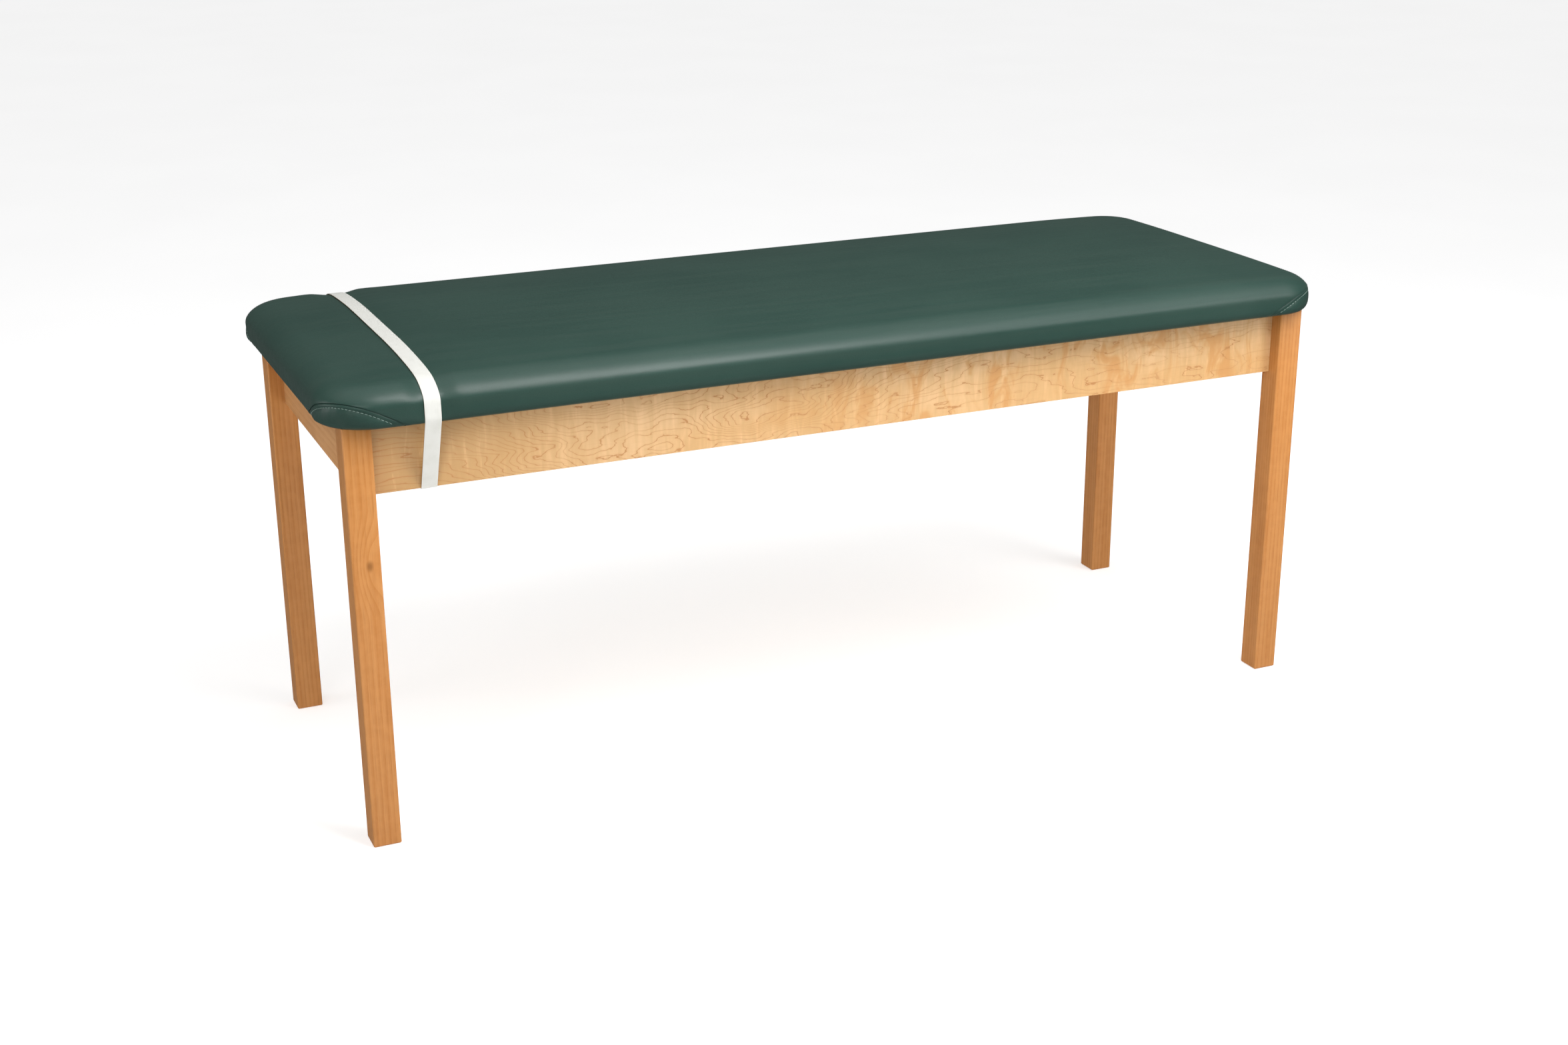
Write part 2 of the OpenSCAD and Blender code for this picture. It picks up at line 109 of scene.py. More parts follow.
def make_object(name, points, faces, material):
    mesh = bpy.data.meshes.new(name)
    mesh.from_pydata([tuple(p) for p in points], [], [tuple(f) for f in faces])
    mesh.validate()
    obj = bpy.data.objects.new(name, mesh)
    bpy.context.collection.objects.link(obj)
    mesh.materials.append(material)
    mesh.shade_smooth()
    return obj


def set_points(obj, points):
    obj.data.vertices.foreach_set("co", np.asarray(points, dtype=np.float32).ravel())
    obj.data.update()


def get_points(obj):
    out = np.empty(len(obj.data.vertices) * 3, dtype=np.float32)
    obj.data.vertices.foreach_get("co", out)
    return out.reshape(-1, 3).astype(float)


def get_normals(obj):
    out = np.empty(len(obj.data.vertices) * 3, dtype=np.float32)
    obj.data.vertex_normals.foreach_get("vector", out)
    return out.reshape(-1, 3).astype(float)


def apply_modifiers(obj):
    graph = bpy.context.evaluated_depsgraph_get()
    mesh = bpy.data.meshes.new_from_object(obj.evaluated_get(graph))
    obj.modifiers.clear()
    old = obj.data
    name = old.name
    obj.data = mesh
    bpy.data.meshes.remove(old)
    mesh.name = name


# ---------------------------------------------------------------- node materials


class Nodes:
    """Short calls for building one Principled material."""

    def __init__(self, name):
        self.material = bpy.data.materials.new(name)
        self.material.use_nodes = True
        self.tree = self.material.node_tree
        self.shader = self.tree.nodes["Principled BSDF"]

    def new(self, kind, **settings):
        node = self.tree.nodes.new(kind)
        for key, value in settings.items():
            setattr(node, key, value)
        return node

    def link(self, source, target):
        self.tree.links.new(source, target)

    def put(self, socket, value):
        if isinstance(value, bpy.types.NodeSocket):
            self.link(value, socket)
        else:
            socket.default_value = value

    def coords(self, scale=(1, 1, 1), offset=(0, 0, 0)):
        place = self.new("ShaderNodeTexCoord")
        mapping = self.new("ShaderNodeMapping")
        self.link(place.outputs["Object"], mapping.inputs["Vector"])
        mapping.inputs["Scale"].default_value = scale
        mapping.inputs["Location"].default_value = offset
        return mapping.outputs["Vector"]

    def noise(self, vector, scale=1.0, detail=2.0, rough=0.5, distortion=0.0):
        node = self.new("ShaderNodeTexNoise")
        self.link(vector, node.inputs["Vector"])
        node.inputs["Scale"].default_value = scale
        node.inputs["Detail"].default_value = detail
        node.inputs["Roughness"].default_value = rough
        node.inputs["Distortion"].default_value = distortion
        return node.outputs["Fac"]

    def voronoi(self, vector, scale=1.0, feature="F1", output="Distance"):
        node = self.new("ShaderNodeTexVoronoi", feature=feature)
        self.link(vector, node.inputs["Vector"])
        node.inputs["Scale"].default_value = scale
        return node.outputs[output]

    def math(self, operation, a, b=0.0):
        node = self.new("ShaderNodeMath", operation=operation)
        for socket, value in zip(node.inputs, (a, b)):
            self.put(socket, value)
        return node.outputs[0]

    def remap(self, value, low, high, new_low=0.0, new_high=1.0):
        node = self.new("ShaderNodeMapRange", interpolation_type="SMOOTHSTEP")
        self.put(node.inputs["Value"], value)
        keys = "From Min", "From Max", "To Min", "To Max"
        for key, limit in zip(keys, (low, high, new_low, new_high)):
            self.put(node.inputs[key], limit)
        return node.outputs["Result"]

    def mix(self, factor, a, b, blend="MIX"):
        node = self.new("ShaderNodeMix", data_type="RGBA", blend_type=blend)
        sockets = [s for s in node.inputs if s.type == "RGBA"]
        self.put(node.inputs[0], factor)
        for socket, value in zip(sockets, (a, b)):
            self.put(socket, (*value, 1) if isinstance(value, tuple) else value)
        return [s for s in node.outputs if s.type == "RGBA"][0]

    def split(self, vector):
        node = self.new("ShaderNodeSeparateXYZ")
        self.link(vector, node.inputs[0])
        return node.outputs

    def spot(self, middle, scale):
        """Distance from a point, stretched along the axes."""
        total = 0.0
        for part, centre, factor in zip(self.split(self.coords()), middle, scale):
            gap = self.math("MULTIPLY", self.math("SUBTRACT", part, centre), factor)
            total = self.math("ADD", self.math("MULTIPLY", gap, gap), total)
        return self.math("SQRT", total)

    def bump(self, height, distance, strength=1.0, below=None):
        node = self.new("ShaderNodeBump")
        node.inputs["Strength"].default_value = strength
        node.inputs["Distance"].default_value = distance
        self.link(height, node.inputs["Height"])
        if below is not None:
            self.link(below, node.inputs["Normal"])
        return node.outputs["Normal"]

    def finish(self, color, roughness, normal=None, **sockets):
        base = (*color, 1) if isinstance(color, tuple) else color
        self.put(self.shader.inputs["Base Color"], base)
        self.put(self.shader.inputs["Roughness"], roughness)
        if normal is not None:
            self.link(normal, self.shader.inputs["Normal"])
        for key, value in sockets.items():
            self.shader.inputs[key.replace("_", " ")].default_value = value
        return self.material


def shade(color, factor):
    return tuple(min(factor * c, 1) for c in color)


def vinyl_material():
    """Dark green upholstery vinyl: fine leather grain, faint lengthwise streaks."""
    n = Nodes("green_vinyl")
    cloudy = n.noise(n.coords(), scale=5, detail=3)
    streaks = n.noise(n.coords(scale=(3, 60, 60)), scale=1, detail=3, rough=0.6)
    color = n.mix(n.remap(cloudy, 0.3, 0.7), (0.0175, 0.0480, 0.0375), (0.0225, 0.0555, 0.0435))
    color = n.mix(n.remap(streaks, 0.35, 0.75, 0, 0.5), color, (0.029, 0.058, 0.046))
    pebbles = n.voronoi(n.coords(), scale=700, feature="SMOOTH_F1")
    pores = n.noise(n.coords(), scale=1500, detail=2)
    # Painted shade: the hollows between the grain's pebbles are painted darker
    color = n.mix(n.remap(pebbles, 0.35, 0.8, 0, 0.35), color, (0.014, 0.036, 0.028))
    height = n.math("ADD", n.math("MULTIPLY", pebbles, -1.0), n.math("MULTIPLY", pores, 0.3))
    dimple = n.remap(n.spot(DIMPLE, (1, 1, 1)), 0.0, 6 * MM, 1.0, 0.0)
    # Painted shade: the colour is darkened inside the pressed dent
    color = n.mix(n.math("MULTIPLY", dimple, 0.5), color, (0.014, 0.036, 0.028))
    broad = n.noise(n.coords(), scale=28, detail=2)
    broad = n.math("SUBTRACT", broad, dimple)
    normal = n.bump(broad, 0.5 * MM, 0.35)
    normal = n.bump(height, 0.12 * MM, 0.55, below=normal)
    rough = n.math("ADD", n.remap(streaks, 0.3, 0.7, 0.34, 0.40), n.math("MULTIPLY", pebbles, 0.06))
    return n.finish(color, rough, normal, Specular_IOR_Level=0.33)


def wood_material(name, light, dark, axis, pith, ring, seed, gloss=0.36, knot=None):
    """Solid lacquered wood whose growth rings run round a pith line, so end grain is right too."""
    n = Nodes(name)
    offset = (seed * 1.7, seed * 0.9, seed * 2.3)
    stretch = [tuple(factor if i == axis else 1 for i in range(3)) for factor in (0.06, 0.018)]
    along, fine = (n.coords(scale=scale, offset=offset) for scale in stretch)
    plain = n.coords(offset=offset)
    bend = n.noise(along, scale=9, detail=3)
    cross = [n.split(n.coords())[i] for i in range(3) if i != axis]
    away = [n.math("SUBTRACT", c, p) for c, p in zip(cross, pith)]
    squares = [n.math("MULTIPLY", a, a) for a in away]
    radius = n.math("SQRT", n.math("ADD", *squares))
    radius = n.math("ADD", radius, n.math("MULTIPLY", bend, 3.2 * ring))
    if knot is not None:
        round_knot = n.spot(knot, (1, 1, 0.35))
        swell = n.remap(round_knot, 0.0, 34 * MM, 1.0, 0.0)
        radius = n.math("ADD", radius, n.math("MULTIPLY", swell, 2.6 * ring))
    phase = n.math("FRACT", n.math("DIVIDE", radius, ring))
    late = n.remap(phase, 0.35, 0.95)
    late = n.math("MULTIPLY", late, n.remap(phase, 0.95, 1.0, 1.0, 0.0))
    fibre = n.noise(fine, scale=900, detail=3, rough=0.65)
    bands = n.noise(along, scale=90, detail=4, rough=0.65)
    painted_sheen = n.noise(plain, scale=60, detail=2)
    color = n.mix(n.math("MULTIPLY", late, 0.55), light, dark)
    color = n.mix(n.remap(bands, 0.35, 0.75, 0, 0.6), color, dark)
    color = n.mix(n.remap(fibre, 0.45, 0.8, 0, 0.4), color, shade(dark, 0.68))
    # Painted sheen: soft lighter patches that stand in for the wood's shimmer under light
    color = n.mix(n.remap(painted_sheen, 0.35, 0.7, 0, 0.22), color, shade(light, 1.15))
    if knot is not None:
        core = n.remap(n.spot(knot, (1, 1, 0.6)), 1 * MM, 8 * MM, 0.75, 0.0)
        color = n.mix(core, color, shade(dark, 0.5))
    normal = n.bump(n.noise(plain, scale=14, detail=1), 0.5 * MM, 0.2)
    normal = n.bump(fibre, 0.05 * MM, 0.4, below=normal)
    rough = n.remap(fibre, 0.3, 0.8, gloss - 0.03, gloss + 0.08)
    return n.finish(color, rough, normal,
                    Coat_Weight=0.12, Coat_Roughness=0.25, Specular_IOR_Level=0.35)


def veneer_material(name, light, dark, line, seed=0.0):
    """Figured veneer: thin growth lines like contours, over ripples across the grain painted
    lighter and darker as a sheen.
    """
    n = Nodes(name)
    offset = (seed, seed * 0.6, seed * 1.4)

    def field(stretch, scale, detail=2, rough=0.5, distortion=0.0):
        return n.noise(n.coords(scale=stretch, offset=offset), scale, detail, rough, distortion)

    axes = n.split(n.coords(offset=offset))
    x, z = axes[0], axes[2]
    calm = n.remap(x, -0.80, -0.45, 0.10, 1.0)
    wander = field((1.0, 0.2, 2.2), 5.4, 2, 0.42)
    shiver = field((1.0, 0.2, 1.3), 34, 3, 0.55)
    years = field((0.08, 0.2, 1.0), 55, 2, 0.5)
    per_metre = n.remap(x, -0.75, -0.15, 110.0, 44.0)
    sparse = n.remap(x, -0.25, 0.40)
    hills = n.remap(sparse, 0.0, 1.0, 24.0, 12.0)
    jitter = n.remap(sparse, 0.0, 1.0, 0.9, 0.35)
    height = n.math("SUBTRACT", z, (rail_low[2] + rail_high[2]) / 2)
    level = n.math("MULTIPLY", height, per_metre)
    level = n.math("ADD", level, n.math("MULTIPLY", years, 3.4))
    level = n.math("ADD", level, n.math("MULTIPLY", n.math("MULTIPLY", wander, calm), hills))
    level = n.math("ADD", level, n.math("MULTIPLY", n.math("MULTIPLY", shiver, calm), jitter))
    level = n.math("ADD", level, n.math("MULTIPLY", shiver, 0.5))
    phase = n.math("FRACT", level)
    edge = n.math("ABSOLUTE", n.math("SUBTRACT", phase, 0.5))
    lines = n.remap(edge, n.remap(sparse, 0.0, 1.0, 0.42, 0.452), 0.50)
    soft = n.remap(edge, 0.1, 0.5)
    strength = field((1, 1, 1), 9)
    fibre = field((0.02, 1, 1), 1100, 3, 0.65)
    curl_and_sheen = field((1, 1, 0.16), 75, 3, 0.55, 0.6)
    glow = field((1, 1, 0.40), 24, 3, 0.6, 1.0)
    patches = n.math("MULTIPLY", n.remap(glow, 0.48, 0.66), n.remap(x, -0.35, 0.20))
    tone = field((0.3, 1, 1), 7, 2)
    color = n.mix(n.remap(tone, 0.3, 0.7, 0.0, 0.8), light, dark)
    # Darker towards the head end: partly the calmer grain's own tone, partly painted shade where
    # the light falls off and the strap shades the rail
    color = n.mix(n.remap(x, -0.85, -0.35, 0.90, 0.0), color, shade(dark, 0.84))
    # Painted sheen: the ripples across the grain are painted darker and lighter, for the figure's
    # shimmer
    color = n.mix(n.remap(curl_and_sheen, 0.35, 0.62, 0.30, 0.0), color, shade(dark, 0.80))
    color = n.mix(n.remap(curl_and_sheen, 0.55, 0.75, 0.0, 0.30), color, shade(light, 1.18))
    tan = tuple(0.82 * a + 0.18 * b for a, b in zip(dark, line))
    color = n.mix(n.math("MULTIPLY", patches, 0.75), color, tan)
    color = n.mix(n.math("MULTIPLY", patches, 0.42), color, (0.62, 0.27, 0.075))
    color = n.mix(n.math("MULTIPLY", soft, 0.10), color, line)
    faint = n.remap(strength, 0.35, 0.55, 0.45, 1.0)
    color = n.mix(n.math("MULTIPLY", lines, faint), color, line)
    color = n.mix(n.remap(fibre, 0.5, 0.85, 0, 0.25), color, shade(dark, 0.7))
    normal = n.bump(fibre, 0.04 * MM, 0.35)
    rough = n.remap(curl_and_sheen, 0.3, 0.7, 0.33, 0.43)
    return n.finish(color, rough, normal,
                    Coat_Weight=0.15, Coat_Roughness=0.22, Specular_IOR_Level=0.35)


def plywood_material():
    n = Nodes("plywood")
    grain = n.noise(n.coords(scale=(0.05, 1, 1)), scale=60, detail=4, rough=0.6)
    fibre = n.noise(n.coords(scale=(0.02, 1, 1)), scale=800, detail=3)
    waves = n.noise(n.coords(scale=(0.25, 1, 1)), scale=8, detail=2, distortion=1.5)
    z = n.split(n.coords())[2]
    ply = n.math("FRACT", n.math("DIVIDE", z, 2.1 * MM))
    color = n.mix(n.remap(grain, 0.3, 0.75), (0.62, 0.44, 0.26), (0.46, 0.30, 0.16))
    color = n.mix(n.remap(waves, 0.45, 0.6, 0, 0.5), color, (0.66, 0.49, 0.31))
    color = n.mix(n.remap(ply, 0.45, 0.55, 0, 0.10), color, (0.30, 0.18, 0.09))
    normal = n.bump(fibre, 0.12 * MM, 0.5)
    return n.finish(color, n.remap(fibre, 0.3, 0.8, 0.55, 0.75), normal)


def strap_material():
    """Off-white vinyl band: faint calender grain and a little wear."""
    n = Nodes("white_vinyl")
    grain = n.noise(n.coords(), scale=1800, detail=2)
    wear = n.noise(n.coords(), scale=40, detail=4, rough=0.6)
    brushed = n.noise(n.coords(scale=(1, 0.05, 0.05)), scale=900, detail=2)
    color = n.mix(n.remap(wear, 0.4, 0.75), (0.635, 0.635, 0.60), (0.595, 0.595, 0.555))
    color = n.mix(n.remap(brushed, 0.55, 0.8, 0, 0.3), color, (0.55, 0.55, 0.51))
    # Painted shade: the strap's side edges, facing along X, are painted dark brown
    facing = n.split(n.new("ShaderNodeNewGeometry").outputs["Normal"])[0]
    painted_edge_shade = n.remap(n.math("ABSOLUTE", facing), 0.6, 0.95)
    color = n.mix(painted_edge_shade, color, (0.27, 0.19, 0.12))
    normal = n.bump(grain, 0.05 * MM, 0.5)
    normal = n.bump(brushed, 0.03 * MM, 0.3, below=normal)
    return n.finish(color, n.remap(wear, 0.3, 0.7, 0.40, 0.50), normal, Specular_IOR_Level=0.3)


def thread_material():
    n = Nodes("thread")
    ply = n.noise(n.coords(scale=(1, 1, 2)), scale=2600, detail=1)
    color = n.mix(n.remap(ply, 0.3, 0.7), (0.14, 0.23, 0.19), (0.24, 0.35, 0.30))
    return n.finish(color, 0.6, n.bump(ply, 0.08 * MM, 0.7), Sheen_Weight=0.3)


def foam_material():
    n = Nodes("foam")
    cells = n.voronoi(n.coords(), scale=900)
    tone = n.noise(n.coords(), scale=12, detail=3)
    color = n.mix(n.remap(tone, 0.3, 0.7), (0.74, 0.66, 0.42), (0.66, 0.56, 0.33))
    color = n.mix(n.remap(cells, 0.3, 0.7, 0, 0.4), color, (0.50, 0.41, 0.22))
    return n.finish(color, 0.95, n.bump(cells, 0.4 * MM, 0.8))


def steel_material(name, tint, scale=55):
    """Zinc-plated pressed steel: spangle, fine rolling lines and dull spots."""
    n = Nodes(name)
    spangle = n.voronoi(n.coords(), scale=scale * 8, output="Color")
    rolling = n.noise(n.coords(scale=(1, 1, 0.04)), scale=1600, detail=2)
    spots = n.noise(n.coords(), scale=scale, detail=4, rough=0.65)
    color = n.mix(n.remap(spots, 0.35, 0.7), tint, shade(tint, 0.78))
    color = n.mix(0.12, color, spangle, blend="SOFT_LIGHT")
    rough = n.math("ADD", n.remap(spots, 0.3, 0.75, 0.26, 0.48), n.math("MULTIPLY", rolling, 0.06))
    return n.finish(color, rough, n.bump(rolling, 0.03 * MM, 0.3), Metallic=1.0)


def floor_material():
    n = Nodes("floor")
    faint = n.noise(n.coords(), scale=1.5, detail=3)
    color = n.mix(n.remap(faint, 0.3, 0.7), (0.60, 0.60, 0.60), (0.62, 0.62, 0.62))
    glow = {"Emission_Color": (1, 1, 1, 1), "Emission_Strength": 0.585}
    return n.finish(color, 0.85, Specular_IOR_Level=0.1, **glow)


# ---------------------------------------------------------------- pad surface


def crown(x, y):
    """Rise of the pad's middle above its rounded edge."""
    def part(distance):
        return 1 - (1 - np.clip(distance / CROWN_IN, 0, 1)) ** 2
    return CROWN_H * part(HALF_L - np.abs(x)) * part(HALF_W - np.abs(y))


def top_height(d, x, y):
    """Height above the pad's underside, d in from the outline."""
    rise = np.sqrt(1 - (1 - np.clip(d / EDGE_IN, 0, 1)) ** 2)
    return SHOULDER + rise * (EDGE_DOWN + crown(x, y))


def spread(length, coarse, fine, fine_at=None, reach=0.045):
    """Fractions along a straight side, closer together round fine_at."""
    marks = [0.0]
    while marks[-1] < length:
        near = fine_at is not None and abs(marks[-1] - fine_at) < reach
        marks.append(marks[-1] + (fine if near else coarse))
    marks = np.array(marks)
    return marks / marks[-1]


class Outline:
    """Points round the pad's plan, each an arc centre and an outward direction, by side."""

    arc_steps = 9

    def __init__(self):
        cx, cy = HALF_L - CORNER_R, HALF_W - CORNER_R
        along = spread(2 * cx, 9 * MM, 3.2 * MM, STRAP_X + cx)
        across = spread(2 * cy, 9 * MM, 9 * MM)
        self.nx = len(along) - 1 + 2 * self.arc_steps
        self.ny = len(across) - 1 + 2 * self.arc_steps
        centres, turns = [], []
        sides = [
            ((-cx, -cy), (cx, -cy), along, 270),
            ((cx, -cy), (cx, cy), across, 0),
            ((cx, cy), (-cx, cy), 1 - along[::-1], 90),
            ((-cx, cy), (-cx, -cy), across, 180),
        ]
        for start, end, marks, facing in sides:
            start, end = np.array(start), np.array(end)
            steps = np.arange(self.arc_steps) / self.arc_steps
            centres += [start] * self.arc_steps
            turns += list(facing - 45 + 45 * steps)
            centres += [start + (end - start) * t for t in marks]
            turns += [facing] * len(marks)
            centres += [end] * (self.arc_steps - 1)
            turns += list(facing + 45 * steps[1:])
        self.centres = np.array(centres)
        angles = np.radians(turns)
        self.out = np.stack([np.cos(angles), np.sin(angles)], axis=1)
        self.count = len(centres)

    def ring(self, d):
        return self.centres + (CORNER_R - d) * self.out


def fill_grid(outline, ring):
    """Points of a grid whose border is the ring: transfinite, then relaxed."""
    nx, ny = outline.nx, outline.ny
    closed = np.vstack([ring, ring[:1]])
    front = closed[: nx + 1]
    right = closed[nx: nx + ny + 1]
    rear = closed[nx + ny: 2 * nx + ny + 1][::-1]
    left = closed[2 * nx + ny: 2 * (nx + ny) + 1][::-1]
    u = np.linspace(0, 1, nx + 1)[:, None, None]
    v = np.linspace(0, 1, ny + 1)[None, :, None]
    grid = (1 - v) * front[:, None] + v * rear[:, None] + (1 - u) * left[None] + u * right[None]
    grid -= (1 - u) * (1 - v) * front[0] + u * (1 - v) * front[-1]
    grid -= (1 - u) * v * rear[0] + u * v * rear[-1]
    smoothing_passes = 40
    for _ in range(smoothing_passes):
        around = grid[2:, 1:-1] + grid[:-2, 1:-1] + grid[1:-1, 2:] + grid[1:-1, :-2]
        grid[1:-1, 1:-1] = around / 4
    return grid


def grid_border(outline):
    """Grid indices of the border, in the ring's order."""
    nx, ny = outline.nx, outline.ny
    front = [(i, 0) for i in range(nx)]
    right = [(nx, j) for j in range(ny)]
    rear = [(nx - i, ny) for i in range(nx)]
    left = [(0, ny - j) for j in range(ny)]
    return front + right + rear + left


def pad_shell(outline, levels, top_at, close_bottom=False):
    """Points and faces from rings of (d, z) up to a filled top; z may depend on the place."""
    count = outline.count
    points, faces = [], []
    for d, z in levels:
        plan = outline.ring(d)
        height = z(plan) if callable(z) else np.full(count, z)
        points.append(np.column_stack([plan, height]))
    for k in range(len(levels) - 1):
        low, high = k * count, (k + 1) * count
        for i in range(count):
            j = (i + 1) % count
            faces.append((low + i, low + j, high + j, high + i))
    points = np.vstack(points)

    def lid(ring_start, heights, flip):
        nonlocal points
        ring = points[ring_start: ring_start + count]
        grid = fill_grid(outline, ring[:, :2])
        z = heights(grid[..., 0], grid[..., 1])
        index = -np.ones(grid.shape[:2], dtype=int)
        for k, (i, j) in enumerate(grid_border(outline)):
            index[i, j] = ring_start + k
        inner = index < 0
        index[inner] = len(points) + np.arange(inner.sum())
        points = np.vstack([points, np.column_stack([grid[inner], z[inner]])])
        quads = np.stack([index[:-1, :-1], index[1:, :-1], index[1:, 1:], index[:-1, 1:]], axis=-1)
        quads = quads.reshape(-1, 4)
        faces.extend(map(tuple, quads[:, ::-1] if flip else quads))

    lid((len(levels) - 1) * count, top_at, False)
    if close_bottom:
        bottom = points[0, 2]
        lid(0, lambda x, y: np.full(x.shape, bottom), True)
    return points, faces


def cover_levels():
    """Rings of the cover from its turned-under edge, round the tuck and up to the top edge."""
    under = [(d, PAD_Z) for d in np.linspace(TURN_UNDER, TUCK_IN + 6 * MM, 6)]
    tuck = []
    for a in np.radians(np.linspace(0, 90, 8)):
        tuck.append((TUCK_IN * (1 - math.sin(a)), PAD_Z + TUCK_UP * (1 - math.cos(a))))
    side = [(0.0, PAD_Z + z) for z in np.linspace(TUCK_UP, SHOULDER, 5)[1:-1]]
    edge = []
    for a in np.radians(np.linspace(0, 90, 15)):
        d = EDGE_IN * (1 - math.cos(a))
        edge.append((d, lambda plan, d=d: PAD_Z + top_height(d, plan[:, 0], plan[:, 1])))
    return under + tuck + side + edge


def dent_depth(d):
    """How far the strap presses in, by distance from the pad's side."""
    return (1.8 + 3.4 * bell(d, 22 * MM, 34 * MM)) * MM


def dent_spread(x):
    """1 under the strap, fading out on both sides, with a slight swell beyond."""
    away = np.abs(x - STRAP_X) - STRAP_W / 2
    return 1 - smooth(away, 1.5 * MM, 32 * MM) ** 0.85 - 0.10 * bell(away, 44 * MM, 16 * MM)


def side_distance(points):
    """Distance in from the front or rear side, 0 on the vertical side and the tuck."""
    return np.clip(HALF_W - np.abs(points[:, 1]), 0, None)


def clear_of_tuck(z):
    """0 at the pad's underside, 1 once above the tuck."""
    return smooth(z, PAD_Z + 1 * MM, PAD_Z + 14 * MM)


def press_strap(points, normals):
    """Moves the surface in where the strap squeezes it."""
    depth = dent_depth(side_distance(points)) * dent_spread(points[:, 0])
    depth *= clear_of_tuck(points[:, 2])
    return points - normals * depth[:, None]


def seam_distance(points, sx, sy):
    """Distance above the sloping seam plane of one corner, negative below it."""
    apex = HALF_L - SEAM_IN, HALF_W - SEAM_IN
    inward = ((apex[0] - sx * points[..., 0]) + (apex[1] - sy * points[..., 1])) / math.sqrt(2)
    level = PAD_Z + SEAM_TOP - SEAM_SLOPE * inward
    return (points[..., 2] - level) / math.hypot(1, SEAM_SLOPE)


def in_corner(points, sx, sy, reach=0.20):
    return (sx * points[..., 0] > HALF_L - reach) & (sy * points[..., 1] > HALF_W - reach)


def relax_cover(obj, rest, hold):
    """Blender's cloth lets the vinyl settle between what holds it; no point moves over the cap."""
    group = obj.vertex_groups.new(name="hold")
    for level in np.unique(np.round(hold, 2)):
        chosen = np.flatnonzero(np.round(hold, 2) == level)
        group.add([int(i) for i in chosen], float(level), "REPLACE")
    cloth = obj.modifiers.new("settle", "CLOTH")
    settings = cloth.settings
    settings.quality = 5
    settings.mass = 0.4
    settings.tension_stiffness = 12
    settings.compression_stiffness = 6
    settings.bending_stiffness = 0.6
    settings.use_pressure = True
    settings.uniform_pressure_force = 3.0
    settings.effector_weights.gravity = 0
    settings.vertex_group_mass = "hold"
    settings.pin_stiffness = 3.0
    cloth.point_cache.frame_start = 1
    cloth.point_cache.frame_end = CLOTH_FRAMES
    scene = bpy.context.scene
    for number in range(1, CLOTH_FRAMES + 1):
        scene.frame_set(number)
    apply_modifiers(obj)
    scene.frame_set(1)
    settled = get_points(obj)
    move = settled - rest
    size = np.linalg.norm(move, axis=1, keepdims=True)
    set_points(obj, rest + move * np.minimum(1, CLOTH_CAP / np.maximum(size, 1e-9)))
    obj.vertex_groups.clear()


def cut_corner_panels(obj):
    """Takes away the cover below each corner's seam, along a clean cut."""
    bm = bmesh.new()
    bm.from_mesh(obj.data)
    slope = math.hypot(1, SEAM_SLOPE)
    for sx, sy in CORNERS.values():
        def near(face):
            c = face.calc_center_median()
            place = np.array([c.x, c.y, c.z])
            return bool(in_corner(place, sx, sy)) and c.z > PAD_Z + 0.3 * MM
        chosen = [f for f in bm.faces if near(f)]
        parts = set(chosen)
        for face in chosen:
            parts.update(face.edges)
            parts.update(face.verts)
        apex = Vector((sx * (HALF_L - SEAM_IN), sy * (HALF_W - SEAM_IN), PAD_Z + SEAM_TOP))
        lean = SEAM_SLOPE / math.sqrt(2)
        normal = Vector((-sx * lean, -sy * lean, 1)) / slope
        bmesh.ops.bisect_plane(bm, geom=list(parts), dist=1e-6, plane_co=apex, plane_no=normal)
        below = []
        for face in bm.faces:
            c = face.calc_center_median()
            place = np.array([c.x, c.y, c.z])
            if near(face) and seam_distance(place, sx, sy) < 0:
                below.append(face)
        bmesh.ops.delete(bm, geom=below, context="FACES")
    bm.to_mesh(obj.data)
    bm.free()


def build_cover(outline, material):
    points, faces = pad_shell(
        outline, cover_levels(), lambda x, y: PAD_Z + SHOULDER + EDGE_DOWN + crown(x, y))
    cover = make_object("vinyl_cover_skin", points, faces, material)
    rest = press_strap(points, get_normals(cover))
    set_points(cover, rest)
    under_strap = np.abs(rest[:, 0] - STRAP_X) < STRAP_W / 2 + 2 * MM
    hold = np.where(under_strap | (rest[:, 2] < PAD_Z + 3 * MM), 1.0, 0.25)
    for sx, sy in CORNERS.values():
        beside = in_corner(rest, sx, sy) & (seam_distance(rest, sx, sy) < 10 * MM)
        hold[beside & (rest[:, 2] < PAD_Z + 60 * MM)] = 1.0
    relax_cover(cover, rest, hold)
    points, normals = get_points(cover), get_normals(cover)
    for sx, sy in CORNERS.values():
        away = seam_distance(points, sx, sy)
        zone = in_corner(points, sx, sy) & (points[:, 2] > PAD_Z + 1 * MM)
        roll = np.where(zone, 0.5 * MM * bell(away, 1.5 * MM, 4 * MM), 0)
        points = points + normals * roll[:, None]
    set_points(cover, points)
    cut_corner_panels(cover)
    wall = cover.modifiers.new("wall", "SOLIDIFY")
    wall.thickness = COVER_T
    wall.offset = -1
    rim = cover.modifiers.new("rim", "BEVEL")
    rim.width = 0.45 * MM
    rim.segments = 2
    rim.limit_method = "ANGLE"
    rim.angle_limit = math.radians(50)
    apply_modifiers(cover)
    cover.data.shade_smooth()
    return cover


# ---------------------------------------------------------------- corner panels and stitches


def corner_frame(s):
    """Arc centre offset and outward angle at distance s round one corner from its middle."""
    half = CORNER_R * math.pi / 4
    angle = np.clip(s, -half, half) / CORNER_R
    extra = np.sign(s) * np.clip(np.abs(s) - half, 0, None)
    return angle, extra


